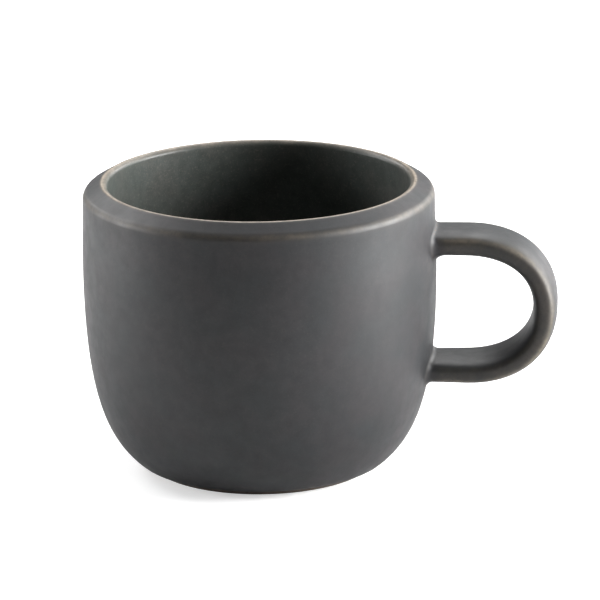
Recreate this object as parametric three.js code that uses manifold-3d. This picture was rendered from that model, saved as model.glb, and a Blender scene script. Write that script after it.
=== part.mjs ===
// A stoneware mug with a strap handle, in millimetres, +Z up, handle towards +X.
//
// It is built up as a potter builds it: a thrown cup, a strap handle luted on with two beds of
// slip, and three coats of glaze (outside, inside and under the foot). The fired coats are thin
// solids of their own, and the drawn sizes are those over the glaze.
// The origin is on the table, under the middle of the whole mug, cup and handle together.
import * as THREE from "three";
import { LoftGeometry } from "three/addons/geometries/LoftGeometry.js";
import { mergeVertices } from "three/addons/utils/BufferGeometryUtils.js";
import Module from "manifold-3d";

const wasm = await Module();
wasm.setup();

// Cup, over the glaze
const HEIGHT = 77.6;
const BODY_RADIUS = 47; // the widest place in the wall
const WIDEST_DROP = 22; // from the top down to the widest place
const FOOT_RADIUS = 31; // where the bowl would meet the table
const FOOT_ANGLE = THREE.MathUtils.degToRad(32.4); // rise of the bowl at the foot
const BOWL_START_PULL = 13.3; // how far the bowl holds that rise
const BOWL_FULLNESS = 0.63; // share of the bowl's height that its side stays steep

// Rim: a bevel that rises inwards to a thin rounded lip
const RIM_INSET = 0.4; // the rim stands inside the widest place
const RIM_WIDTH = 6.55;
const BEVEL_ANGLE = THREE.MathUtils.degToRad(30);
const SHOULDER_ROUND = 2.6;
const LIP_ROUND = 1.4;

// Inside
const INSIDE_RELIEF = 0.6; // the wall is a little thinner below the lip
const RELIEF_DEPTH = 25;
const FLOOR = 6; // height of the floor above the table
const INSIDE_FULLNESS = 0.91; // share of the lower inside's height that its side stays steep
const FLOOR_PULL = 0.83; // how far out the floor stays flat, as shares of the inside radius
const FLOOR_FLAT = 0.42;

// Foot
const FOOT_RING_WIDTH = 4;
const RECESS = 1.7; // depth of the hollow inside the ring
const RECESS_RUN = 1.6; // width of the recess's sloping side
const GLAZE_LINE = 1.3; // the outside coat stops this far above the table

// Handle, over the glaze
const STRAP_WIDTH = 18; // at the roots
const STRAP_THICKNESS = 6.35;
const GRIP_SPREAD = 2.6; // how much wider the strap grows towards the grip
const GRIP_SWELL = 0.2; // how much thicker
const SWELL_SKEW = 1.4; // 1 swells most half way along the strap, more swells most lower down
const STRAP_SQUARENESS = 3.1; // superellipse exponent of the section: 2 is an ellipse
const HANDLE_DROP = 15.9; // from the top down to the middle of the upper leg
const HANDLE_SPAN = 35; // between the middles of the two legs
const LEG_LENGTH = 8.1; // straight part, out from the widest place
const HANDLE_REACH = 28.86; // middle of the grip, out from the widest place
const GRIP_LIFT = 0.3; // the grip stands this much above the middle of the two legs
const BEND_PULL = 0.604; // Bezier pull of a bend: 0.552 is a circle, more is squarer

// Coats and joints
const GLAZE = 0.45;
const UNDER_GLAZE = 0.4;
const UNDER_GLAZE_MARGIN = 0.8; // the coat under the foot stops short of the recess's side
const SLIP_BED = 0.4; // slip between a leg's end and the wall
const ROOT_FLARE = 2; // how far a slip fillet spreads on the wall and up the leg
const FLARE_HOLLOW = 1.8; // 1 is a plain bevel, more is a hollower fillet
const FLARE_EDGE = 0.15; // the fillet's thickness where it runs out on the leg
const ROOT_BURY = 4; // how far a leg and its slip run into the wall before they are cut

// Fineness
const TURN_STEPS = 40;
const SECTION_STEPS = 20;
const BEND_STEPS = 8;
const FLARE_STEPS = 4;
const SAME_PLACE = 1e-4;

const rimRadius = BODY_RADIUS - RIM_INSET;
const mouthRadius = rimRadius - RIM_WIDTH;
const insideRadius = mouthRadius + INSIDE_RELIEF;
const widestHeight = HEIGHT - WIDEST_DROP;
const upperLegHeight = HEIGHT - HANDLE_DROP;
const lowerLegHeight = upperLegHeight - HANDLE_SPAN;
const footOuter = FOOT_RADIUS - GLAZE / Math.sin(FOOT_ANGLE);
const footInner = footOuter - FOOT_RING_WIDTH;
const recessRadius = footInner - RECESS_RUN;
const gripThickness = STRAP_THICKNESS + GRIP_SWELL * swelling(0.5);
const outermost = BODY_RADIUS + HANDLE_REACH + gripThickness / 2;

const point = (x, y) => new THREE.Vector2(x, y);

// How far the strap has swelled at a share of its length: 0 at the roots and up to 1 between them.
function swelling(share) {
  return Math.sin(Math.PI * share ** SWELL_SKEW);
}

// --- profiles: x is the distance from the cup's axis, y is the height ---

// Points along curves laid end to end, each with its own number of steps.
function trace(...runs) {
  const points = [];
  for (const [curve, steps] of runs) {
    const run = curve.getPoints(steps);
    const last = points.at(-1);
    const joined = last && last.distanceTo(run[0]) < SAME_PLACE;
    points.push(...(joined ? run.slice(1) : run));
  }
  return points;
}

function arc(centre, radius, start, end) {
  return new THREE.EllipseCurve(centre.x, centre.y, radius, radius, start, end, end < start);
}

// The outside over the glaze, from the foot up to the top of the lip.
function outsideProfile() {
  const foot = point(FOOT_RADIUS, 0);
  const widest = point(BODY_RADIUS, widestHeight);
  const bowl = new THREE.CubicBezierCurve(
    foot,
    point(
      foot.x + BOWL_START_PULL * Math.cos(FOOT_ANGLE),
      foot.y + BOWL_START_PULL * Math.sin(FOOT_ANGLE),
    ),
    point(BODY_RADIUS, widestHeight * (1 - BOWL_FULLNESS)),
    widest,
  );

  // The bevel's line touches the lip's round; the shoulder's round joins it to the wall.
  const bevelNormal = point(Math.sin(BEVEL_ANGLE), Math.cos(BEVEL_ANGLE));
  const lipCentre = point(mouthRadius + LIP_ROUND, HEIGHT - LIP_ROUND);
  const shoulderX = rimRadius - SHOULDER_ROUND;
  const reachOut = LIP_ROUND - SHOULDER_ROUND - (shoulderX - lipCentre.x) * bevelNormal.x;
  const shoulderCentre = point(shoulderX, lipCentre.y + reachOut / bevelNormal.y);
  const bevelTurn = Math.PI / 2 - BEVEL_ANGLE;
  const wallTop = point(rimRadius, shoulderCentre.y);
  const wallPull = (wallTop.y - widest.y) / 3;
  const wall = new THREE.CubicBezierCurve(
    widest,
    point(widest.x, widest.y + wallPull),
    point(wallTop.x, wallTop.y - wallPull),
    wallTop,
  );
  return trace(
    [bowl, 9],
    [wall, 3],
    [arc(shoulderCentre, SHOULDER_ROUND, 0, bevelTurn), 3],
    [arc(lipCentre, LIP_ROUND, bevelTurn, Math.PI / 2), 2],
  );
}

// The inside over the glaze, from the top of the lip down to the middle of the floor.
function insideProfile() {
  const lipCentre = point(mouthRadius + LIP_ROUND, HEIGHT - LIP_ROUND);
  const reliefEnd = point(insideRadius, lipCentre.y - RELIEF_DEPTH);
  const wall = new THREE.LineCurve(point(mouthRadius, lipCentre.y), reliefEnd);
  const floorEdge = point(insideRadius * FLOOR_FLAT, FLOOR);
  const bowl = new THREE.CubicBezierCurve(
    reliefEnd,
    point(insideRadius, FLOOR + (reliefEnd.y - FLOOR) * (1 - INSIDE_FULLNESS)),
    point(insideRadius * FLOOR_PULL, FLOOR),
    floorEdge,
  );
  const floor = new THREE.LineCurve(floorEdge, point(0, FLOOR));
  return trace(
    [arc(lipCentre, LIP_ROUND, Math.PI / 2, Math.PI), 4],
    [wall, 1],
    [bowl, 9],
    [floor, 1],
  );
}

// The same profile moved into the clay by `depth`, square to itself at each point.
function sink(profile, depth) {
  return profile.map((p, i) => {
    const before = profile[Math.max(i - 1, 0)];
    const after = profile[Math.min(i + 1, profile.length - 1)];
    const along = after.clone().sub(before).normalize();
    return point(p.x > 0 ? p.x - depth * along.y : 0, p.y + depth * along.x);
  });
}

// Distance of a profile from the axis at a height, for a profile that only rises.
function radiusAt(profile, height) {
  const i = Math.max(1, profile.findIndex((p) => p.y >= height));
  const [low, high] = [profile[i - 1], profile[i]];
  return THREE.MathUtils.mapLinear(height, low.y, high.y, low.x, high.x);
}

// Cuts a profile at a height and keeps what is above.
function above(profile, height) {
  const rest = profile.filter((p) => p.y > height);
  return [point(radiusAt(profile, height), height), ...rest];
}

// Profiles of the glazed faces and of the clay under them. The two halves are sunk as one line,
// so that the coats meet at the top of the lip and share one edge on the clay.
const outside = outsideProfile();
const skin = [...outside, ...insideProfile().slice(1)];
const clay = sink(skin, GLAZE);
const lipTop = outside.length - 1;
const inside = skin.slice(lipTop);
const clayOutside = clay.slice(0, lipTop + 1);
const clayInside = clay.slice(lipTop);

// --- solids ---

// A turned solid: the profile starts and ends on the axis or closes on itself.
function turned(profile) {
  return new THREE.LatheGeometry([...profile, profile[0]], TURN_STEPS).rotateX(Math.PI / 2);
}

function solid(geometry) {
  const bare = new THREE.BufferGeometry();
  bare.setAttribute("position", geometry.getAttribute("position"));
  bare.setIndex(geometry.index);
  const merged = mergeVertices(bare, SAME_PLACE);
  return new wasm.Manifold(
    new wasm.Mesh({
      numProp: 3,
      vertProperties: merged.attributes.position.array,
      triVerts: new Uint32Array(merged.index.array),
    }),
  );
}

function geometryOf(manifold) {
  const mesh = manifold.getMesh();
  const geometry = new THREE.BufferGeometry();
  geometry.setAttribute("position", new THREE.BufferAttribute(mesh.vertProperties, 3));
  geometry.setIndex(new THREE.BufferAttribute(mesh.triVerts, 1));
  geometry.computeVertexNormals();
  return geometry;
}

// Everything inside an outer profile, filled to the axis.
function filled(profile) {
  const bottom = point(0, profile[0].y);
  const top = point(0, profile.at(-1).y);
  return solid(turned([bottom, ...profile, top]));
}

// --- handle ---

// One closed section of the strap around `centre`: `out` is the way out of the loop, and the
// strap's width lies along Y. `grow` makes it larger all round, and `swelled` is its swelling.
function strapSection(centre, out, grow, swelled = 0) {
  const side = new THREE.Vector3(0, 1, 0);
  const halfWidth = (STRAP_WIDTH + GRIP_SPREAD * swelled) / 2 + grow;
  const halfThickness = (STRAP_THICKNESS + GRIP_SWELL * swelled) / 2 + grow;
  const power = 2 / STRAP_SQUARENESS;
  const swing = (value) => Math.sign(value) * Math.abs(value) ** power;
  const section = [];
  for (let i = 0; i < SECTION_STEPS; i += 1) {
    const angle = (2 * Math.PI * i) / SECTION_STEPS;
    section.push(
      centre
        .clone()
        .addScaledVector(side, halfWidth * swing(Math.cos(angle)))
        .addScaledVector(out, halfThickness * swing(Math.sin(angle))),
    );
  }
  return section;
}

// The two bends of the strap's middle line: from the end of the upper leg round to the grip, and
// from the grip back to the end of the lower leg.
function handleBends() {
  const legEnd = BODY_RADIUS + LEG_LENGTH;
  const grip = BODY_RADIUS + HANDLE_REACH;
  const middle = (upperLegHeight + lowerLegHeight) / 2 + GRIP_LIFT;
  const pullOut = (grip - legEnd) * BEND_PULL;
  const pullUp = (upperLegHeight - middle) * BEND_PULL;
  const pullDown = (middle - lowerLegHeight) * BEND_PULL;
  const at = (x, z) => new THREE.Vector3(x, 0, z);
  const upperBend = new THREE.CubicBezierCurve3(
    at(legEnd, upperLegHeight),
    at(legEnd + pullOut, upperLegHeight),
    at(grip, middle + pullUp),
    at(grip, middle),
  );
  const lowerBend = new THREE.CubicBezierCurve3(
    at(grip, middle),
    at(grip, middle - pullDown),
    at(legEnd + pullOut, lowerLegHeight),
    at(legEnd, lowerLegHeight),
  );
  return [upperBend, lowerBend];
}

// Sections round the two bends, from the end of the upper leg to the end of the lower one.
function bendSections(grow) {
  const sections = [];
  const bends = handleBends();
  const lengths = bends.map((bend) => bend.getLength());
  const whole = 2 * LEG_LENGTH + lengths[0] + lengths[1];
  bends.forEach((bend, half) => {
    const before = LEG_LENGTH + half * lengths[0];
    for (let i = half; i <= BEND_STEPS; i += 1) {
      const u = i / BEND_STEPS;
      const along = bend.getTangentAt(u);
      const out = new THREE.Vector3(-along.z, 0, along.x);
      const swelled = swelling((before + lengths[half] * u) / whole);
      sections.push(strapSection(bend.getPointAt(u), out, grow, swelled));
    }
  });
  return sections;
}

// A section that follows the wall at a leg, standing `rise` off it.
function wallSection(wall, height, up, rise, grow) {
  const centre = new THREE.Vector3(0, 0, height);
  const section = strapSection(centre, new THREE.Vector3(0, 0, up), grow);
  for (const p of section) p.x = Math.sqrt(radiusAt(wall, p.z) ** 2 - p.y ** 2) + rise;
  return section;
}

// Sections of a leg's root, between a place inside the wall and the fillet's end on the leg, in
// the order that the strap's line runs. The fillet is a hollow curve that spreads on the wall.
function rootSections(wall, height, up, grow, edge) {
  const sections = [wallSection(wall, height, up, -ROOT_BURY, grow + ROOT_FLARE)];
  for (let i = 0; i <= FLARE_STEPS; i += 1) {
    const share = i / FLARE_STEPS;
    const spread = edge + (ROOT_FLARE - edge) * (1 - share) ** FLARE_HOLLOW;
    sections.push(wallSection(wall, height, up, ROOT_FLARE * share, grow + spread));
  }
  return up > 0 ? sections : sections.reverse();
}

// The clay strap on its own, with its ends deep in the wall.
function strapBlank() {
  const upper = wallSection(clayOutside, upperLegHeight, 1, -ROOT_BURY, -GLAZE);
  const lower = wallSection(clayOutside, lowerLegHeight, -1, -ROOT_BURY, -GLAZE);
  const sections = [upper, ...bendSections(-GLAZE), lower];
  return solid(new LoftGeometry(sections, { capStart: true, capEnd: true }));
}

// One leg's slip before it is cut: the fillet and the bed, running into the wall.
function slipBlank(height, up) {
  const sections = rootSections(clayOutside, height, up, -GLAZE, FLARE_EDGE);
  return solid(new LoftGeometry(sections, { capStart: true, capEnd: true }));
}

// --- coats of glaze ---

// The outside of the glaze on the handle, with its ends in the wall.
function handleGlazeBlank() {
  const sections = [
    ...rootSections(outside, upperLegHeight, 1, 0, 0),
    ...bendSections(0),
    ...rootSections(outside, lowerLegHeight, -1, 0, 0),
  ];
  return solid(new LoftGeometry(sections, { capStart: true, capEnd: true }));
}

// One coat over the cup's outside, the joints and the handle.
function exteriorGlazeSolid(clayHandleAndSlip) {
  const outer = above(outside, GLAZE_LINE);
  const inner = above(clayOutside, GLAZE_LINE);
  const cupCoat = solid(turned([...outer, ...inner.reverse()]));
  const handleCoat = handleGlazeBlank().subtract(filled(clayOutside));
  return cupCoat.add(handleCoat).subtract(clayHandleAndSlip);
}

function linerGlazeGeometry() {
  return turned([...inside, ...clayInside.slice().reverse()]);
}

// The coat under the foot: a disc with a rounded edge on the recess's ceiling.
function undersideGlazeGeometry() {
  const radius = recessRadius - UNDER_GLAZE_MARGIN;
  const edge = arc(point(radius - UNDER_GLAZE, RECESS), UNDER_GLAZE, -Math.PI / 2, 0);
  return turned([point(0, RECESS), point(0, RECESS - UNDER_GLAZE), ...edge.getPoints(2)]);
}

// --- cup ---

// The fired clay cup: bare at the foot ring, with a shallow recess inside the ring.
function cupGeometry() {
  return turned([
    point(0, RECESS),
    point(recessRadius, RECESS),
    point(footInner, 0),
    point(footOuter, 0),
    ...above(clay.slice(0, lipTop), GLAZE_LINE),
    ...clayInside,
  ]);
}

// --- the mug ---

const clayCup = filled(clayOutside);
const strap = strapBlank();
const upperSlip = slipBlank(upperLegHeight, 1);
const lowerSlip = slipBlank(lowerLegHeight, -1);
const exteriorGlaze = exteriorGlazeSolid(strap.add(upperSlip).add(lowerSlip));

// The strap's ends are cut to the wall's curve, with room for the slip that beds them.
const handle = strap.subtract(filled(sink(clayOutside, -SLIP_BED)));
const upperJoint = upperSlip.subtract(clayCup).subtract(handle);
const lowerJoint = lowerSlip.subtract(clayCup).subtract(handle);

const firedClay = { color: 0x574b41, roughness: 0.85, metalness: 0 };
const firedSlip = { color: 0x4d4239, roughness: 0.9, metalness: 0 };
const charcoalGlaze = { color: 0x3d3c40, roughness: 0.42, metalness: 0 };
const linerGlaze = { color: 0x23251f, roughness: 0.36, metalness: 0 };

function piece(name, geometry, finish) {
  const mesh = new THREE.Mesh(geometry, new THREE.MeshStandardMaterial(finish));
  mesh.name = name;
  return mesh;
}

const mug = new THREE.Group();
mug.position.x = (BODY_RADIUS - outermost) / 2;
mug.add(
  piece("cup_body", cupGeometry(), firedClay),
  piece("handle", geometryOf(handle), firedClay),
  piece("upper_slip_joint", geometryOf(upperJoint), firedSlip),
  piece("lower_slip_joint", geometryOf(lowerJoint), firedSlip),
  piece("exterior_glaze", geometryOf(exteriorGlaze), charcoalGlaze),
  piece("liner_glaze", linerGlazeGeometry(), linerGlaze),
  piece("underside_glaze", undersideGlazeGeometry(), linerGlaze),
);

const part = new THREE.Group();
part.add(mug);
export default part;
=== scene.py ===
"""A charcoal stoneware mug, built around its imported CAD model. Everything is in metres."""
import math

import bpy
import numpy as np
from mathutils import Matrix, Vector, noise


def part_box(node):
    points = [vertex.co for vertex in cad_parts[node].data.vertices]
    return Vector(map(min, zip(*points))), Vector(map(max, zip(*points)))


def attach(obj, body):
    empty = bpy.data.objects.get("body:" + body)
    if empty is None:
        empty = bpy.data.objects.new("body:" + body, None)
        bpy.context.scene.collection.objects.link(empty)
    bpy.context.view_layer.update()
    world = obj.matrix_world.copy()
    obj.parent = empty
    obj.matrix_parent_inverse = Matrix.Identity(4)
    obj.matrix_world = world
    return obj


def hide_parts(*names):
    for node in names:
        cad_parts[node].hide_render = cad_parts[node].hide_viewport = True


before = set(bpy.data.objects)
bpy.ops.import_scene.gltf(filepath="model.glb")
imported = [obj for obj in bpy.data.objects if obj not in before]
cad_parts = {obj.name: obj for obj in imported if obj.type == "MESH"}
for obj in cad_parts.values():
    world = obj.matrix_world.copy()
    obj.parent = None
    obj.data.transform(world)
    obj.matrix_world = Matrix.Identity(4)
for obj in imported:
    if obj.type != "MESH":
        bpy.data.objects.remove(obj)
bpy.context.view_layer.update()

MM = 0.001

# --- sizes read from the frame ---

cup_low, cup_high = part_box("cup_body")
coat_low, coat_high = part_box("exterior_glaze")
strap_low, strap_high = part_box("handle")
liner_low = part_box("liner_glaze")[0]
under_low, under_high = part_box("underside_glaze")
upper_low, upper_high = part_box("upper_slip_joint")
lower_low, lower_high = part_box("lower_slip_joint")

AXIS_X = (cup_low[0] + cup_high[0]) / 2
BODY_RADIUS = coat_high[1]
GLAZE = coat_high[1] - cup_high[1]
HEIGHT = coat_high[2]
GLAZE_LINE = coat_low[2]
FLOOR_HEIGHT = liner_low[2] + GLAZE
RECESS = under_high[2]
UNDER_GLAZE = under_high[2] - under_low[2]
UNDER_RADIUS = under_high[1]
WIDEST_STRAP = strap_high[1] - strap_low[1] + 2 * GLAZE
UPPER_LEG = (upper_low[2] + upper_high[2]) / 2
LOWER_LEG = (lower_low[2] + lower_high[2]) / 2
STRAP_THICKNESS = 2 * (strap_high[2] + GLAZE - UPPER_LEG)
HANDLE_END = coat_high[0] - AXIS_X  # outside of the grip, from the cup's axis

# --- shape of the cup, as in the CAD model ---

WIDEST_DROP = 22 * MM
FOOT_RADIUS = 31 * MM
FOOT_ANGLE = math.radians(32.4)
BOWL_START_PULL = 13.3 * MM
BOWL_FULLNESS = 0.63
RIM_INSET = 0.4 * MM
RIM_WIDTH = 6.55 * MM
BEVEL_ANGLE = math.radians(30)
SHOULDER_ROUND = 2.6 * MM
LIP_ROUND = 1.4 * MM
INSIDE_RELIEF = 0.6 * MM
RELIEF_DEPTH = 25 * MM
INSIDE_FULLNESS = 0.91
FLOOR_PULL = 0.83
FLOOR_FLAT = 0.42
FOOT_RING_WIDTH = 4 * MM
FOOT_ROUND = 0.35 * MM
RECESS_RUN = 1.6 * MM

# --- shape of the handle ---

LEG_LENGTH = 8.1 * MM
BEND_PULL = 0.604
GRIP_SPREAD = 2.6 * MM  # how much wider the strap grows from the roots towards the grip
GRIP_SWELL = 0.2 * MM  # how much thicker
SWELL_SKEW = 1.4  # more than 1 swells most below the middle
GRIP_LIFT = 0.3 * MM  # the grip stands this much above the middle of the two legs
STRAP_WIDTH = WIDEST_STRAP - GRIP_SPREAD
STRAP_SQUARENESS = 3.1
# How far the fillets spread on the wall and along the leg: above the leg, at its sides, below it.
UPPER_FILLETS = {"wall": (1.4 * MM, 1.6 * MM, 2.4 * MM), "leg": (1.3 * MM, 1.9 * MM, 3.4 * MM)}
LOWER_FILLETS = {"wall": (2.0 * MM, 1.6 * MM, 2.2 * MM), "leg": (2.2 * MM, 1.9 * MM, 1.7 * MM)}

# --- fineness ---

COLUMNS = 288
WALL_STEP = 1.0 * MM
HOLE_ROWS = 18  # wall rows taken out round each root
HOLE_COLUMNS = 30
TRANSITION_RINGS = 6
FILLET_RINGS = 9
LEG_RINGS = 7
BEND_RINGS = 88

# --- surface ---

WAVER = 0.05 * MM  # how far the hand-finished surface wanders inside its drawn shape
# Half widths of the paler bands where the glaze runs thin over an edge, and how pale each is painted;
# on the shoulder and the strap's outer corners the band is also a painted highlight.
SHOULDER_BAND_HALF_WIDTH = 0.95 * MM
FOOT_BREAK = 0.64 * MM
LINER_BREAK = 0.75 * MM
SHOULDER_THIN_GLAZE_AND_HIGHLIGHT = 0.5
FOOT_THINNESS = 0.5
LINER_THINNESS = 1.0
SIDE_THINNESS = 0.4
CORNER_THIN_GLAZE_AND_HIGHLIGHT = 0.85
# The outer corners' band is thin glaze with a painted highlight; CORNER_TILT is where it is
# strongest.
CORNER_TILT = 0.7  # sideways part of the strap's normal where the glaze is thinnest
CORNER_SPREAD = 0.3
# Where the clay shows: on the lip's crest. The faint pale line along the seam round each root is a
# painted highlight of the fillet, drawn in the same tan.
LIP_BARE_WIDTH = 0.42 * MM
LIP_BARENESS = 0.85
SEAM_HIGHLIGHT = 0.05
SEAM_RING = 3.0  # the fillet ring that the seam runs along
SEAM_SPREAD = 1.2

# --- light ---

SOFTBOX_DISTANCE = 1.2
SOFTBOX_WIDTH = 0.62
SOFTBOX_HEIGHT = 0.55
FLOOR_REACH = 6.0
FLOOR_TONE = 0.76
FLOOR_GLOW = 0.5  # lifts the floor towards white for the camera alone, so that the shadow stays pale

# --- camera ---

CAMERA_TURN = math.radians(4.05)
CAMERA_RISE = math.radians(16.66)
CAMERA_ROLL = math.radians(0.70)
CAMERA_DISTANCE = 1.2204
CAMERA_LENS = 275.0
SENSOR = 36.0
TARGET_SIDE = 10.55 * MM
TARGET_HEIGHT = 44.2 * MM


# --- curves ---

def bezier(start, pull_start, pull_end, end, steps):
    """Points of a cubic Bezier curve, `steps` + 1 of them."""
    t = np.linspace(0, 1, steps + 1)[:, None]
    a, b, c, d = (np.asarray(p, float) for p in (start, pull_start, pull_end, end))
    return (1 - t) ** 3 * a + 3 * (1 - t) ** 2 * t * b + 3 * (1 - t) * t ** 2 * c + t ** 3 * d


def arc(centre, radius, start, end, steps):
    angles = np.linspace(start, end, steps + 1)
    return np.asarray(centre) + radius * np.stack([np.cos(angles), np.sin(angles)], axis=1)


def smooth_step(low, high, value):
    t = np.clip((value - low) / (high - low), 0, 1)
    return t * t * (3 - 2 * t)


def bump_at(value, middle, half_width):
    """A soft bump of height 1 round `middle`."""
    return np.exp(-((value - middle) / half_width) ** 2)


class Rail:
    """A profile as (radius, height), measured by the distance along it."""

    def __init__(self, *runs):
        self.ends = []
        points = runs[0]
        self.ends.append(self._length(points))
        for run in runs[1:]:
            joined = np.linalg.norm(points[-1] - run[0]) < 1e-9
            points = np.vstack([points, run[1:] if joined else run])
            self.ends.append(self._length(points))
        self.points = points
        steps = np.linalg.norm(np.diff(points, axis=0), axis=1)
        self.distance = np.concatenate([[0], np.cumsum(steps)])

    @staticmethod
    def _length(points):
        return float(np.linalg.norm(np.diff(points, axis=0), axis=1).sum())

    def at(self, distance):
        radius = np.interp(distance, self.distance, self.points[:, 0])
        height = np.interp(distance, self.distance, self.points[:, 1])
        return radius, height

    def out(self, distance):
        """The way out of the clay at a distance, as (radius, height)."""
        tiny = 0.05 * MM
        r0, z0 = self.at(distance - tiny)
        r1, z1 = self.at(distance + tiny)
        along = np.stack([r1 - r0, z1 - z0], axis=-1)
        along /= np.linalg.norm(along, axis=-1, keepdims=True)
        return along[..., 1], -along[..., 0]

    def at_height(self, height):
        """Distance along a profile that only rises."""
        return np.interp(height, self.points[:, 1], self.distance)

    def radius_at(self, height):
        return np.interp(height, self.points[:, 1], self.points[:, 0])


RIM_RADIUS = BODY_RADIUS - RIM_INSET
MOUTH_RADIUS = RIM_RADIUS - RIM_WIDTH
INSIDE_RADIUS = MOUTH_RADIUS + INSIDE_RELIEF
WIDEST_HEIGHT = HEIGHT - WIDEST_DROP
LIP_CENTRE = (MOUTH_RADIUS + LIP_ROUND, HEIGHT - LIP_ROUND)
CURVE_STEPS = 400
ROUND_PULL = 0.5523  # makes a cubic curve follow a quarter circle


def outside_rail():
    """The cup's outside over the glaze, from the table up to the top of the lip."""
    bowl = bezier(
        (FOOT_RADIUS, 0),
        (
            FOOT_RADIUS + BOWL_START_PULL * math.cos(FOOT_ANGLE),
            BOWL_START_PULL * math.sin(FOOT_ANGLE),
        ),
        (BODY_RADIUS, WIDEST_HEIGHT * (1 - BOWL_FULLNESS)),
        (BODY_RADIUS, WIDEST_HEIGHT),
        CURVE_STEPS,
    )
    # The bevel's line touches the lip's round; the shoulder's round joins it to the wall.
    normal = (math.sin(BEVEL_ANGLE), math.cos(BEVEL_ANGLE))
    shoulder_x = RIM_RADIUS - SHOULDER_ROUND
    lift = LIP_ROUND - SHOULDER_ROUND - (shoulder_x - LIP_CENTRE[0]) * normal[0]
    shoulder = (shoulder_x, LIP_CENTRE[1] + lift / normal[1])
    pull = (shoulder[1] - WIDEST_HEIGHT) / 3
    wall = bezier(
        (BODY_RADIUS, WIDEST_HEIGHT),
        (BODY_RADIUS, WIDEST_HEIGHT + pull),
        (RIM_RADIUS, shoulder[1] - pull),
        (RIM_RADIUS, shoulder[1]),
        CURVE_STEPS,
    )
    turn = math.pi / 2 - BEVEL_ANGLE
    shoulder_arc = arc(shoulder, SHOULDER_ROUND, 0, turn, 60)
    lip_arc = arc(LIP_CENTRE, LIP_ROUND, turn, math.pi / 2, 30)
    bevel = np.array([shoulder_arc[-1], lip_arc[0]])
    return Rail(bowl, wall, shoulder_arc, bevel, lip_arc)


def inside_rail():
    """The cup's inside over the glaze, from the top of the lip down to the middle of the floor."""
    lip_arc = arc(LIP_CENTRE, LIP_ROUND, math.pi / 2, math.pi, 60)
    relief_end = (INSIDE_RADIUS, LIP_CENTRE[1] - RELIEF_DEPTH)
    wall = np.array([lip_arc[-1], relief_end])
    floor_edge = (INSIDE_RADIUS * FLOOR_FLAT, FLOOR_HEIGHT)
    steep_end = FLOOR_HEIGHT + (relief_end[1] - FLOOR_HEIGHT) * (1 - INSIDE_FULLNESS)
    bowl = bezier(
        relief_end,
        (INSIDE_RADIUS, steep_end),
        (INSIDE_RADIUS * FLOOR_PULL, FLOOR_HEIGHT),
        floor_edge,
        CURVE_STEPS,
    )
    floor = np.array([floor_edge, (0.0, FLOOR_HEIGHT)])
    return Rail(lip_arc, wall, bowl, floor)


outside = outside_rail()
inside = inside_rail()


def stations(rail, start, steps):
    """Distances along a rail from `start`, with its own step in each of the rail's runs."""
    places = [start]
    for end, step in zip(rail.ends, steps):
        if end <= places[-1]:
            continue
        count = max(1, round((end - places[-1]) / step))
        places.extend(np.linspace(places[-1], end, count + 1)[1:])
    return np.array(places)


# --- meshes ---

def add_mesh(name, points, faces, layers=None):
    """A smooth mesh object. `layers` holds one number per point for the materials to read."""
    mesh = bpy.data.meshes.new(name)
    mesh.from_pydata([tuple(p) for p in points], [], [tuple(f) for f in faces])
    for layer, values in (layers or {}).items():
        attribute = mesh.attributes.new(layer, "FLOAT", "POINT")
        attribute.data.foreach_set("value", np.asarray(values, np.float32))
    mesh.polygons.foreach_set("use_smooth", [True] * len(mesh.polygons))
    mesh.update()
    piece = bpy.data.objects.new(name, mesh)
    bpy.context.scene.collection.objects.link(piece)
    return piece


def waver(points, normals, amount):
    """Moves points inwards by a slow, seeded wander, as hand-finished clay has."""
    moved = points.copy()
    for i, (point, normal) in enumerate(zip(points, normals)):
        slow = noise.noise(Vector(point) * 45.0)
        slower = noise.noise(Vector(point) * 17.0 + Vector((3.1, 7.7, 1.9)))
        moved[i] -= normal * amount[i] * (0.5 + 0.3 * slow + 0.3 * slower)
    return moved


def vertex_normals(points, faces):
    """Area-weighted normals of a mesh of quads."""
    quads = np.asarray(faces)
    a, b, c, d = (points[quads[:, k]] for k in range(4))
    face_normals = np.cross(c - a, d - b)
    normals = np.zeros_like(points)
    for k in range(4):
        np.add.at(normals, quads[:, k], face_normals)
    return normals / np.linalg.norm(normals, axis=1, keepdims=True)


def turned(name, profile, layers=None):
    """A turned closed solid: the profile starts and ends on the axis, or closes on itself."""
    profile = np.asarray(profile)
    on_axis = profile[:, 0] < 1e-9
    angles = 2 * np.pi * np.arange(COLUMNS) / COLUMNS
    points, rows, owner = [], [], []
    for i, (radius, height) in enumerate(profile):
        if on_axis[i]:
            rows.append(np.full(COLUMNS, len(points)))
            points.append((AXIS_X, 0, height))
            owner.append(i)
            continue
        rows.append(np.arange(len(points), len(points) + COLUMNS))
        for angle in angles:
            points.append((AXIS_X + radius * math.cos(angle), radius * math.sin(angle), height))
            owner.append(i)
    pairs = list(zip(rows[:-1], rows[1:]))
    if not on_axis[0]:
        pairs.append((rows[-1], rows[0]))
    faces = []
    for low, high in pairs:
        for j in range(COLUMNS):
            k = (j + 1) % COLUMNS
            corners = [low[j], low[k], high[k], high[j]]
            face = [v for n, v in enumerate(corners) if v != corners[n - 1]]
            if len(face) > 2:
                faces.append(face)
    spread = {layer: np.asarray(values)[owner] for layer, values in (layers or {}).items()}
    return add_mesh(name, points, faces, spread)


# --- the outside coat, with the handle ---

def wall_point(angle, distance):
    """Places on the cup's outside, from the angle round the axis and the distance up the rail."""
    radius, height = outside.at(distance)
    return np.stack([AXIS_X + radius * np.cos(angle), radius * np.sin(angle), height], axis=-1)


def onto_wall(y, z):
    """The place on the handle's side of the cup that has this y and z."""
    radius = outside.radius_at(z)
    return np.stack([AXIS_X + np.sqrt(radius ** 2 - y ** 2), y, z], axis=-1)


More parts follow.
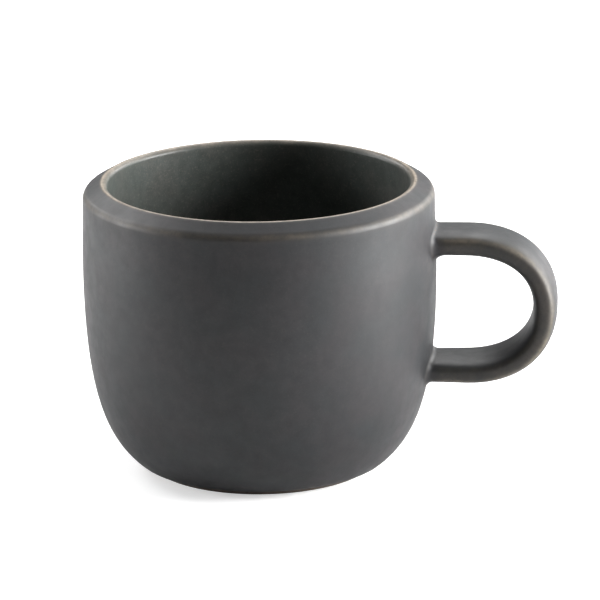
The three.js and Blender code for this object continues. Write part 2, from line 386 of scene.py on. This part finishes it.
def strap_section():
    """The strap's section as a loop of (side, out) places, with the outward normals.

    The loop starts at the low corner on the +Y side. It has as many places along each of its
    four sides as the hole in the wall has, so that the rings of the root join up one to one.
    """
    half = np.array([STRAP_WIDTH, STRAP_THICKNESS]) / 2
    power = 2 / STRAP_SQUARENESS
    angles = np.linspace(-math.pi / 4, 7 * math.pi / 4, 8001)
    raw = np.stack([np.cos(angles), np.sin(angles)], axis=1)
    dense = half * np.sign(raw) * np.abs(raw) ** power
    loop = []
    corners = np.linspace(0, 8000, 5).astype(int)
    for first, last, count in zip(corners, corners[1:], [HOLE_ROWS, HOLE_COLUMNS] * 2):
        side = dense[first : last + 1]
        steps = np.concatenate([[0], np.cumsum(np.linalg.norm(np.diff(side, axis=0), axis=1))])
        places = np.linspace(0, steps[-1], count + 1)[:-1]
        loop.append(np.stack([np.interp(places, steps, side[:, k]) for k in (0, 1)], axis=1))
    loop = np.vstack(loop)
    steep = STRAP_SQUARENESS - 1
    normals = np.sign(loop) * np.abs(loop / half) ** steep / half
    return loop, normals / np.linalg.norm(normals, axis=1, keepdims=True)


section, section_normals = strap_section()


def swelling(share):
    """How far the strap has swelled at a share of its length: 0 at the roots, up to 1 between."""
    return math.sin(math.pi * share ** SWELL_SKEW)


def ring(centre, out, share):
    """The strap's section placed round `centre`, at a share of the strap's length."""
    swelled = swelling(share)
    wide = 1 + GRIP_SPREAD / STRAP_WIDTH * swelled
    thick = 1 + GRIP_SWELL / STRAP_THICKNESS * swelled
    side = np.array([0.0, 1.0, 0.0])
    return centre + wide * section[:, :1] * side + thick * section[:, 1:] * np.asarray(out)


def root_rings(height, up, fillets):
    """Rings of a leg's root, from the tangent line on the wall out to the straight leg."""
    share = section_normals ** 2

    def around(spreads):
        out_of_loop, beside, into_loop = spreads if up > 0 else spreads[::-1]
        ends = np.where(section_normals[:, 1] > 0, out_of_loop, into_loop)
        return beside * share[:, 0] + ends * share[:, 1]

    grown = section + section_normals * around(fillets["wall"])[:, None]
    on_wall = onto_wall(grown[:, 0], height + up * grown[:, 1])
    corner = onto_wall(section[:, 0], height + up * section[:, 1])
    on_leg = corner + around(fillets["leg"])[:, None] * np.array([1.0, 0, 0])

    # The fillet leaves the wall along the wall's own tangent plane.
    radius = outside.radius_at(on_wall[:, 2])
    slope = (outside.radius_at(on_wall[:, 2] + MM) - outside.radius_at(on_wall[:, 2] - MM)) / (2 * MM)
    normal = np.stack([(on_wall[:, 0] - AXIS_X) / radius, on_wall[:, 1] / radius, -slope], axis=1)
    normal /= np.linalg.norm(normal, axis=1, keepdims=True)
    pull = corner - on_wall
    pull -= normal * np.sum(pull * normal, axis=1, keepdims=True)
    rings = []
    for t in np.linspace(0, 1, FILLET_RINGS + 1):
        near = on_wall + ROUND_PULL * pull
        far = on_leg + ROUND_PULL * (corner - on_leg)
        rings.append(
            (1 - t) ** 3 * on_wall
            + 3 * (1 - t) ** 2 * t * near
            + 3 * (1 - t) * t ** 2 * far
            + t ** 3 * on_leg
        )
    return rings


def leg_rings(start, end):
    """Rings along a leg's straight part, between the fillet and the bend."""
    shares = np.linspace(0, 1, LEG_RINGS + 1)[1:-1]
    return [start * (1 - share) + end * share for share in shares]


def bend_rings():
    """Rings round the two bends, from the end of the upper leg to the end of the lower one."""
    leg_end = AXIS_X + BODY_RADIUS + LEG_LENGTH
    grip_thickness = STRAP_THICKNESS + GRIP_SWELL * swelling(0.5)
    grip = AXIS_X + HANDLE_END - grip_thickness / 2
    middle = (UPPER_LEG + LOWER_LEG) / 2 + GRIP_LIFT
    pull_out = (grip - leg_end) * BEND_PULL
    upper = bezier(
        (leg_end, 0, UPPER_LEG),
        (leg_end + pull_out, 0, UPPER_LEG),
        (grip, 0, middle + (UPPER_LEG - middle) * BEND_PULL),
        (grip, 0, middle),
        CURVE_STEPS,
    )
    lower = bezier(
        (grip, 0, middle),
        (grip, 0, middle - (middle - LOWER_LEG) * BEND_PULL),
        (leg_end + pull_out, 0, LOWER_LEG),
        (leg_end, 0, LOWER_LEG),
        CURVE_STEPS,
    )
    line = np.vstack([upper, lower[1:]])
    steps = np.linalg.norm(np.diff(line, axis=0), axis=1)
    distance = LEG_LENGTH + np.concatenate([[0], np.cumsum(steps)])
    whole = distance[-1] + LEG_LENGTH
    rings = []
    for place in np.linspace(distance[0], distance[-1], BEND_RINGS + 1):
        centre = np.array([np.interp(place, distance, line[:, axis]) for axis in range(3)])
        i = min(int(np.searchsorted(distance, place, side="right")), len(line) - 1)
        along = (line[i] - line[i - 1]) / steps[i - 1]
        rings.append(ring(centre, (-along[2], 0, along[0]), place / whole))
    return rings


def hole_edge(up, middle_row):
    """The grid places round a root's hole, in the order of the strap's section, as (row, column)."""
    reach = HOLE_ROWS // 2
    side = HOLE_COLUMNS // 2
    order = np.arange(-reach, reach) * up
    right = [(middle_row + k, side) for k in order]
    top = [(middle_row + reach * up, side - k) for k in range(HOLE_COLUMNS)]
    left = [(middle_row - k, -side) for k in order]
    bottom = [(middle_row - reach * up, k - side) for k in range(HOLE_COLUMNS)]
    return right + top + left + bottom


def strap_pale_bands():
    """How much paler the strap is painted: a little on its sides, where the glaze runs thin, and most
    on its outer corners, where thin glaze and a painted highlight go together.
    """
    tilt = np.abs(section_normals[:, 0])
    outer = smooth_step(-0.2, 0.4, section_normals[:, 1])
    # The outer corners' pale band is thin glaze with a painted highlight.
    corner = CORNER_THIN_GLAZE_AND_HIGHLIGHT * bump_at(tilt, CORNER_TILT, CORNER_SPREAD) * outer
    side = SIDE_THINNESS * smooth_step(0.45, 0.8, tilt) * (0.6 + 0.4 * outer)
    return np.maximum(side, corner)


def wall_layers(places):
    """How much paler the glaze is painted, and how far the clay shows, at each distance up the cup's
    outside: thin glaze at the foot, and at the shoulder thin glaze together with a painted highlight.
    """
    shoulder = (outside.ends[1] + outside.ends[2]) / 2
    # The shoulder's pale band is thin glaze with a painted highlight.
    pale_band = SHOULDER_THIN_GLAZE_AND_HIGHLIGHT * bump_at(places, shoulder, SHOULDER_BAND_HALF_WIDTH)
    pale_band = np.maximum(pale_band, FOOT_THINNESS * bump_at(places, places[0], FOOT_BREAK))
    tan_band = LIP_BARENESS * bump_at(places, places[-1], LIP_BARE_WIDTH)
    return pale_band, tan_band


def strap_layers(from_root):
    """The same two layers on one of the strap's rings, counted from the nearer root's hole."""
    fillet_start = TRANSITION_RINGS - 1
    fillet_end = fillet_start + FILLET_RINGS
    growth = smooth_step(fillet_end - 2, fillet_end + 3, from_root)
    at_seam = bump_at(from_root, fillet_start + SEAM_RING, SEAM_SPREAD)
    # A faint tan line along the seam: a painted highlight of the fillet.
    return strap_pale_bands() * growth, np.full(len(section), SEAM_HIGHLIGHT * at_seam)


def wall_faces(index, middle_rows):
    """Quads of the cup's wall, with a hole left for each root."""
    reach = HOLE_ROWS // 2
    side = HOLE_COLUMNS // 2
    open_rows = {row for middle in middle_rows for row in range(middle - reach, middle + reach)}
    faces = []
    for i in range(len(index) - 1):
        for j in range(COLUMNS):
            if i in open_rows and (j < side or j >= COLUMNS - side):
                continue
            k = (j + 1) % COLUMNS
            faces.append((index[i, j], index[i, k], index[i + 1, k], index[i + 1, j]))
    return faces


def transition_rings(edge, tangent, places, angles):
    """Rings on the wall between a hole's edge and the line where the fillet leaves the wall."""
    edge_angles = np.array([angles[c] if c >= 0 else angles[c] - 2 * np.pi for _, c in edge])
    edge_places = places[[row for row, _ in edge]]
    tangent_angles = np.arctan2(tangent[:, 1], tangent[:, 0] - AXIS_X)
    tangent_places = outside.at_height(tangent[:, 2])
    rings = []
    for t in np.arange(1, TRANSITION_RINGS) / TRANSITION_RINGS:
        angle = edge_angles * (1 - t) + tangent_angles * t
        place = edge_places * (1 - t) + tangent_places * t
        rings.append(wall_point(angle, place))
    return rings


def strap_rings(edges, places, angles):
    """All the rings of the handle, from the upper root's hole round to the lower root's."""
    upper = root_rings(UPPER_LEG, 1, UPPER_FILLETS)
    lower = root_rings(LOWER_LEG, -1, LOWER_FILLETS)
    upper = transition_rings(edges[0], upper[0], places, angles) + upper
    lower = transition_rings(edges[1], lower[0], places, angles) + lower
    bends = bend_rings()
    upper_leg = leg_rings(upper[-1], bends[0])
    lower_leg = leg_rings(bends[-1], lower[-1])
    return upper + upper_leg + bends + lower_leg + lower[::-1]


def between_loops(first, second):
    """Quads between two loops that have the same number of points."""
    count = len(first)
    following = [(k + 1) % count for k in range(count)]
    return [(first[k], first[m], second[m], second[k]) for k, m in enumerate(following)]


def exterior_shell():
    """Points, quads and layers of the coat's outer face: the cup, with the handle grown out of it."""
    start = float(outside.at_height(GLAZE_LINE))
    places = stations(outside, start, (WALL_STEP, WALL_STEP, 0.2 * MM, 0.5 * MM, 0.15 * MM))
    angles = 2 * np.pi * np.arange(COLUMNS) / COLUMNS
    grid = wall_point(angles[None, :], places[:, None] * np.ones(COLUMNS))
    index = np.arange(len(places) * COLUMNS).reshape(len(places), COLUMNS)
    points = [grid.reshape(-1, 3)]
    layers = [[np.repeat(row, COLUMNS)] for row in wall_layers(places)]

    legs = ((UPPER_LEG, 1), (LOWER_LEG, -1))
    middle_rows = [int(np.argmin(np.abs(places - outside.at_height(z)))) for z, _ in legs]
    edges = [hole_edge(up, row) for (_, up), row in zip(legs, middle_rows)]
    faces = wall_faces(index, middle_rows)

    strap = strap_rings(edges, places, angles)
    previous = np.array([index[row, column] for row, column in edges[0]])
    for n, ring_points in enumerate(strap):
        points.append(ring_points)
        for layer, values in zip(layers, strap_layers(min(n, len(strap) - 1 - n))):
            layer.append(values)
        current = index.size + n * len(section) + np.arange(len(section))
        faces += between_loops(previous, current)
        previous = current
    faces += between_loops(previous, np.array([index[row, column] for row, column in edges[1]]))
    pale_band, tan_band = (np.concatenate(layer) for layer in layers)
    return np.vstack(points), faces, pale_band, tan_band, index


def drop_unused(points, faces, layers):
    used = np.zeros(len(points), bool)
    used[np.unique(np.asarray(faces))] = True
    renumber = np.cumsum(used) - 1
    faces = [tuple(int(renumber[v]) for v in face) for face in faces]
    return points[used], faces, [layer[used] for layer in layers], renumber


def exterior_coat():
    """The outside coat as one closed skin, rolled under at its lower edge."""
    points, faces, pale_band, tan_band, index = exterior_shell()
    top, bottom = index[-1].copy(), index[0].copy()
    points, faces, (pale_band, tan_band), renumber = drop_unused(points, faces, (pale_band, tan_band))
    top, bottom = renumber[top], renumber[bottom]
    normals = vertex_normals(points, faces)
    normals[top] = (0, 0, 1)
    still = smooth_step(0, 3 * MM, points[:, 2] - GLAZE_LINE)
    still *= smooth_step(0, 2 * MM, HEIGHT - points[:, 2] + 0.2 * MM)
    points = waver(points, normals, WAVER * still)
    under = points - normals * GLAZE
    # The lower edge rolls in to the clay instead of ending in a step.
    rise = points[:, 2] - GLAZE_LINE
    roll = np.clip(1 - rise / (2.2 * GLAZE), 0, 1)
    points = points - normals * (GLAZE * 0.97 * (1 - np.sqrt(1 - roll ** 2)))[:, None]
    size = len(points)
    faces = faces + [tuple(v + size for v in reversed(face)) for face in faces]
    for j in range(COLUMNS):
        k = (j + 1) % COLUMNS
        faces.append((top[j], top[k], top[k] + size, top[j] + size))
        faces.append((bottom[k], bottom[j], bottom[j] + size, bottom[k] + size))
    layers = {"pale_band": np.tile(pale_band, 2), "tan_band": np.tile(tan_band, 2)}
    piece = add_mesh("exterior_coat", np.vstack([points, under]), faces, layers)
    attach(piece, "root")
    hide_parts("exterior_glaze")
    return piece


# --- the turned pieces ---

def sunk(rail, places, depth):
    """Places under a rail's surface, square to it."""
    radius, height = rail.at(places)
    out_radius, out_height = rail.out(places)
    sunk_radius = np.where(radius > 1e-9, radius - depth * out_radius, 0)
    return np.stack([sunk_radius, height - depth * out_height], axis=1)


def inside_places():
    places = stations(inside, 0.0, (0.12 * MM, 1.2 * MM, 0.9 * MM, 2.0 * MM))
    places[0] += 1e-7
    places[-1] = inside.distance[-1]
    return places


def liner_coat():
    """The inside coat: from the top of the lip down to the floor."""
    places = inside_places()
    radius, height = inside.at(places)
    face = np.stack([radius, height], axis=1)
    clay = sunk(inside, places, GLAZE)
    clay[0] = (LIP_CENTRE[0], HEIGHT - GLAZE)
    clay[-1] = (0, FLOOR_HEIGHT - GLAZE)
    pale_band = LINER_THINNESS * bump_at(places, LIP_ROUND / 2, LINER_BREAK)
    tan_band = LIP_BARENESS * bump_at(places, 0, LIP_BARE_WIDTH)
    piece = turned(
        "liner_coat",
        np.vstack([face, clay[::-1]]),
        {"pale_band": np.concatenate([pale_band, pale_band[::-1]]), "tan_band": np.concatenate([tan_band, tan_band[::-1]])},
    )
    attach(piece, "root")
    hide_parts("liner_glaze")
    return piece


def foot_profile():
    """The recess under the cup and the foot ring, with rounded edges where it meets the table."""
    foot_outer = FOOT_RADIUS - GLAZE / math.sin(FOOT_ANGLE)
    foot_inner = foot_outer - FOOT_RING_WIDTH
    recess_radius = foot_inner - RECESS_RUN
    recess_corner = bezier(
        (recess_radius - 1.2 * MM, RECESS),
        (recess_radius - 0.3 * MM, RECESS),
        (recess_radius + 0.4 * MM, RECESS - 0.5 * MM),
        (foot_inner - FOOT_ROUND, FOOT_ROUND * 1.1),
        8,
    )
    inner_edge = bezier(
        recess_corner[-1],
        (foot_inner - FOOT_ROUND * 0.4, FOOT_ROUND * 0.3),
        (foot_inner, 0),
        (foot_inner + FOOT_ROUND, 0),
        6,
    )
    rise = (math.cos(FOOT_ANGLE) * FOOT_ROUND, math.sin(FOOT_ANGLE) * FOOT_ROUND)
    outer_edge = bezier(
        (foot_outer - FOOT_ROUND, 0),
        (foot_outer - FOOT_ROUND * 0.3, 0),
        (foot_outer + rise[0] * 0.2, rise[1] * 0.2),
        (foot_outer + rise[0], rise[1]),
        6,
    )
    return np.vstack([[(0, RECESS)], recess_corner, inner_edge[1:], outer_edge])


def stoneware_cup():
    """The fired clay under the glazes, bare at the foot ring."""
    start = float(outside.at_height(GLAZE_LINE * 0.8))
    places = stations(outside, start, (1.5 * MM, 1.5 * MM, 0.4 * MM, 1.0 * MM, 0.3 * MM))
    outer = sunk(outside, places, GLAZE)
    outer[-1] = (LIP_CENTRE[0], HEIGHT - GLAZE)
    inner = sunk(inside, inside_places(), GLAZE)[1:]
    inner[-1] = (0, FLOOR_HEIGHT - GLAZE)
    piece = turned("stoneware_cup", np.vstack([foot_profile(), outer, inner]))
    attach(piece, "root")
    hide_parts("cup_body")
    return piece


def underside_coat():
    """The pool of glaze in the recess under the foot, with a rolled edge."""
    edge = arc((UNDER_RADIUS - UNDER_GLAZE, RECESS), UNDER_GLAZE, -math.pi / 2, 0, 6)
    inner = np.linspace(0, UNDER_RADIUS - UNDER_GLAZE, 12)[:-1]
    face = np.stack([inner, np.full(len(inner), RECESS - UNDER_GLAZE)], axis=1)
    back = [(UNDER_RADIUS * share, RECESS) for share in (0.9, 0.6, 0.3, 0)]
    profile = np.vstack([face, edge, back])
    pale_band = smooth_step(UNDER_RADIUS * 0.9, UNDER_RADIUS, profile[:, 0])
    piece = turned("underside_coat", profile, {"pale_band": pale_band, "tan_band": np.zeros(len(profile))})
    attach(piece, "root")
    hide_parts("underside_glaze")
    return piece


# --- materials ---

class Graph:
    """A short way to write a material's nodes."""

    def __init__(self, name):
        self.material = bpy.data.materials.new(name)
        self.material.use_nodes = True
        self.tree = self.material.node_tree
        self.shader = self.tree.nodes["Principled BSDF"]
        self.place = self.tree.nodes.new("ShaderNodeTexCoord").outputs["Object"]

    def put(self, socket, value):
        if isinstance(value, bpy.types.NodeSocket):
            self.tree.links.new(value, socket)
        else:
            socket.default_value = value

    def noise(self, size, detail=2.0, roughness=0.5, distortion=0.0):
        """Noise whose blotches are about `size` across."""
        node = self.tree.nodes.new("ShaderNodeTexNoise")
        self.put(node.inputs["Vector"], self.place)
        node.inputs["Scale"].default_value = 1 / size
        node.inputs["Detail"].default_value = detail
        node.inputs["Roughness"].default_value = roughness
        node.inputs["Distortion"].default_value = distortion
        return node.outputs["Fac"]

    def spots(self, size, spread):
        """Round specks, 1 at their middle and 0 outside."""
        node = self.tree.nodes.new("ShaderNodeTexVoronoi")
        self.put(node.inputs["Vector"], self.place)
        node.inputs["Scale"].default_value = 1 / size
        node.inputs["Randomness"].default_value = 1.0
        return self.span(node.outputs["Distance"], spread, spread * 0.35)

    def span(self, value, low, high, to_low=0.0, to_high=1.0):
        """Maps low..high to to_low..to_high, smoothly and clamped."""
        node = self.tree.nodes.new("ShaderNodeMapRange")
        node.interpolation_type = "SMOOTHSTEP"
        node.inputs["From Min"].default_value = low
        node.inputs["From Max"].default_value = high
        node.inputs["To Min"].default_value = to_low
        node.inputs["To Max"].default_value = to_high
        self.put(node.inputs["Value"], value)
        return node.outputs["Result"]

    def math(self, operation, a, b):
        node = self.tree.nodes.new("ShaderNodeMath")
        node.operation = operation
        node.use_clamp = operation != "ADD"
        self.put(node.inputs[0], a)
        self.put(node.inputs[1], b)
        return node.outputs["Value"]

    def mix(self, share, a, b):
        node = self.tree.nodes.new("ShaderNodeMix")
        node.data_type = "RGBA"
        self.put(node.inputs["Factor"], share)
        self.put(node.inputs["A"], a)
        self.put(node.inputs["B"], b)
        return node.outputs["Result"]

    def layer(self, name):
        node = self.tree.nodes.new("ShaderNodeAttribute")
        node.attribute_name = name
        return node.outputs["Fac"]

    def bump(self, height, distance, strength=1.0, under=None):
        node = self.tree.nodes.new("ShaderNodeBump")
        node.inputs["Strength"].default_value = strength
        node.inputs["Distance"].default_value = distance
        self.put(node.inputs["Height"], height)
        if under is not None:
            self.put(node.inputs["Normal"], under)
        return node.outputs["Normal"]


def colour(red, green, blue):
    return (red, green, blue, 1.0)


def glaze(name, deep, cool, warm, pale_colour, roughness, gloss, speckle):
    """A satin glaze: clouded, finely speckled, and paler in bands over its edges, where it runs thin
    and, on the shoulder and the strap's outer corners, where a highlight is painted in.
    """
    g = Graph(name)
    clouds = g.span(g.noise(14 * MM, 3.0, 0.55), 0.35, 0.65)
    mottle = g.span(g.noise(2.6 * MM, 4.0, 0.6), 0.3, 0.7)
    body = g.mix(clouds, cool, warm)
    body = g.mix(g.math("MULTIPLY", mottle, 0.5), body, deep)
    grain = g.span(g.noise(0.55 * MM, 2.0, 0.7), 0.52, 0.74)
    body = g.mix(g.math("MULTIPLY", grain, speckle), body, pale_colour)
    dark = g.math("MULTIPLY", g.spots(1.7 * MM, 0.2), 0.45)
    body = g.mix(dark, body, deep)
    ragged = g.span(g.noise(1.3 * MM, 4.0, 0.65), 0.28, 0.66, 0.5, 1.0)
    streaks = g.span(g.noise(7 * MM, 2.0, 0.5), 0.3, 0.7, 0.55, 1.0)
    # Paler bands: thin glaze over edges, and on the shoulder and the strap's outer corners a painted
    # highlight as well.
    edge = g.math("MULTIPLY", g.math("MULTIPLY", g.layer("pale_band"), ragged), streaks)
    body = g.mix(edge, body, pale_colour)
    # Tan where the clay shows on the lip's crest, and a faint painted highlight along each root's
    # seam.
    body = g.mix(g.math("MULTIPLY", g.layer("tan_band"), ragged), body, BARE_CLAY_AND_HIGHLIGHT_COLOUR)
    g.put(g.shader.inputs["Base Color"], body)
    rough = g.span(g.noise(5 * MM, 3.0, 0.6), 0.3, 0.7, roughness - 0.04, roughness + 0.05)
    g.put(g.shader.inputs["Roughness"], rough)
    g.shader.inputs["IOR"].default_value = 1.52
    g.shader.inputs["Specular IOR Level"].default_value = gloss
    peel = g.bump(g.noise(3.2 * MM, 2.0, 0.5), 0.05 * MM, 0.6)
    g.put(g.shader.inputs["Normal"], g.bump(g.noise(0.5 * MM, 3.0, 0.6), 0.012 * MM, 0.7, peel))
    return g.material


# Tan of the bare clay on the lip, also used for the painted highlight along the seams.
BARE_CLAY_AND_HIGHLIGHT_COLOUR = colour(0.40, 0.335, 0.265)


def charcoal_glaze():
    return glaze(
        "satin_charcoal",
        deep=colour(0.008, 0.009, 0.010),
        cool=colour(0.014, 0.016, 0.018),
        warm=colour(0.020, 0.018, 0.020),
        pale_colour=colour(0.13, 0.108, 0.078),
        roughness=0.54,
        gloss=0.5,
        speckle=0.06,
    )


def liner_glaze():
    return glaze(
        "satin_liner",
        deep=colour(0.034, 0.039, 0.036),
        cool=colour(0.056, 0.064, 0.059),
        warm=colour(0.066, 0.068, 0.062),
        pale_colour=colour(0.22, 0.195, 0.165),
        roughness=0.38,
        gloss=0.2,
        speckle=0.2,
    )


def stoneware(name, pale, dark):
    """Bare fired clay: matt, sandy, with iron specks."""
    g = Graph(name)
    body = g.mix(g.span(g.noise(6 * MM, 4.0, 0.6), 0.3, 0.7), pale, dark)
    sand = g.span(g.noise(0.4 * MM, 2.0, 0.7), 0.45, 0.7)
    body = g.mix(g.math("MULTIPLY", sand, 0.3), body, colour(0.24, 0.19, 0.14))
    body = g.mix(g.math("MULTIPLY", g.spots(1.1 * MM, 0.22), 0.8), body, colour(0.03, 0.022, 0.017))
    g.put(g.shader.inputs["Base Color"], body)
    g.put(g.shader.inputs["Roughness"], g.span(g.noise(2 * MM), 0.3, 0.7, 0.8, 0.92))
    g.put(g.shader.inputs["Normal"], g.bump(g.noise(0.35 * MM, 4.0, 0.7), 0.05 * MM, 0.8))
    return g.material


def dress(piece, material):
    piece.data.materials.clear()
    piece.data.materials.append(material)


def build_mug():
    charcoal, liner = charcoal_glaze(), liner_glaze()
    # The clay is dark brown so that the bare foot ring shows as a near-black line along the bottom
    # edge; that darkness is partly painted shade of the gap under the foot.
    clay = stoneware("bare_stoneware", colour(0.105, 0.078, 0.058), colour(0.070, 0.052, 0.040))
    slip = stoneware("bare_slip", colour(0.085, 0.062, 0.047), colour(0.058, 0.043, 0.034))
    dress(exterior_coat(), charcoal)
    dress(liner_coat(), liner)
    dress(underside_coat(), liner)
    dress(stoneware_cup(), clay)
    for node, material in (("handle", clay), ("upper_slip_joint", slip), ("lower_slip_joint", slip)):
        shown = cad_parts[node]
        for slot in shown.material_slots:
            slot.material = material


# --- stage, light and camera ---

def floor():
    mesh = bpy.data.meshes.new("floor")
    corners = [(x * FLOOR_REACH, y * FLOOR_REACH, 0) for x, y in ((-1, -1), (1, -1), (1, 1), (-1, 1))]
    mesh.from_pydata(corners, [], [(0, 1, 2, 3)])
    plane = bpy.data.objects.new("floor", mesh)
    bpy.context.scene.collection.objects.link(plane)
    material = bpy.data.materials.new("floor")
    material.use_nodes = True
    shader = material.node_tree.nodes["Principled BSDF"]
    shader.inputs["Base Color"].default_value = colour(FLOOR_TONE, FLOOR_TONE, FLOOR_TONE)
    shader.inputs["Roughness"].default_value = 1.0
    shader.inputs["Specular IOR Level"].default_value = 0.0
    shader.inputs["Emission Color"].default_value = colour(1, 1, 1)
    path = material.node_tree.nodes.new("ShaderNodeLightPath")
    glow = material.node_tree.nodes.new("ShaderNodeMath")
    glow.operation = "MULTIPLY"
    glow.inputs[1].default_value = FLOOR_GLOW
    material.node_tree.links.new(path.outputs["Is Camera Ray"], glow.inputs[0])
    material.node_tree.links.new(glow.outputs["Value"], shader.inputs["Emission Strength"])
    mesh.materials.append(material)


def softbox(name, azimuth, elevation, radiance):
    """A soft light that faces the mug. Azimuth 0 is straight behind the mug, 90 on its left."""
    turn = math.radians(azimuth) + CAMERA_TURN
    rise = math.radians(elevation)
    way = Vector((-math.sin(turn) * math.cos(rise), math.cos(turn) * math.cos(rise), math.sin(rise)))
    light = bpy.data.lights.new(name, "AREA")
    light.shape = "RECTANGLE"
    light.size = SOFTBOX_WIDTH
    light.size_y = SOFTBOX_HEIGHT
    light.energy = radiance * math.pi * SOFTBOX_WIDTH * SOFTBOX_HEIGHT
    lamp = bpy.data.objects.new(name, light)
    middle = Vector((AXIS_X, 0, HEIGHT / 2))
    lamp.location = middle + way * SOFTBOX_DISTANCE
    lamp.rotation_euler = way.to_track_quat("Z", "Y").to_euler()
    lamp.visible_camera = False
    bpy.context.scene.collection.objects.link(lamp)


def backdrop():
    """A white studio that the camera sees but that adds no light of its own."""
    world = bpy.data.worlds.new("studio")
    world.use_nodes = True
    tree = world.node_tree
    background = tree.nodes["Background"]
    background.inputs["Color"].default_value = colour(1, 1, 1)
    path = tree.nodes.new("ShaderNodeLightPath")
    tree.links.new(path.outputs["Is Camera Ray"], background.inputs["Strength"])
    bpy.context.scene.world = world


def lighting():
    backdrop()
    softbox("right", -95, 15, 38)
    softbox("rear_right", -50, 20, 10)
    softbox("top_rear", -10, 45, 7)
    softbox("left_rear", 50, 35, 10)
    softbox("left", 80, 10, 12)
    softbox("front_fill", 170, 65, 1.5)


def camera():
    rise = Vector((0, -math.cos(CAMERA_RISE), math.sin(CAMERA_RISE)))
    turn = Matrix.Rotation(CAMERA_TURN, 3, "Z")
    way = turn @ rise
    side = turn @ Vector((1, 0, 0))
    target = Vector((AXIS_X, 0, TARGET_HEIGHT)) + side * TARGET_SIDE
    data = bpy.data.cameras.new("camera")
    data.sensor_width = SENSOR
    data.lens = CAMERA_LENS
    data.clip_end = 50
    eye = bpy.data.objects.new("camera", data)
    roll = Matrix.Rotation(-CAMERA_ROLL, 4, "Z")
    aim = way.to_track_quat("Z", "Y").to_matrix().to_4x4()
    eye.matrix_world = Matrix.Translation(target + way * CAMERA_DISTANCE) @ aim @ roll
    bpy.context.scene.collection.objects.link(eye)
    bpy.context.scene.camera = eye


camera()
lighting()
floor()
build_mug()
bpy.context.scene.view_settings.view_transform = "Standard"
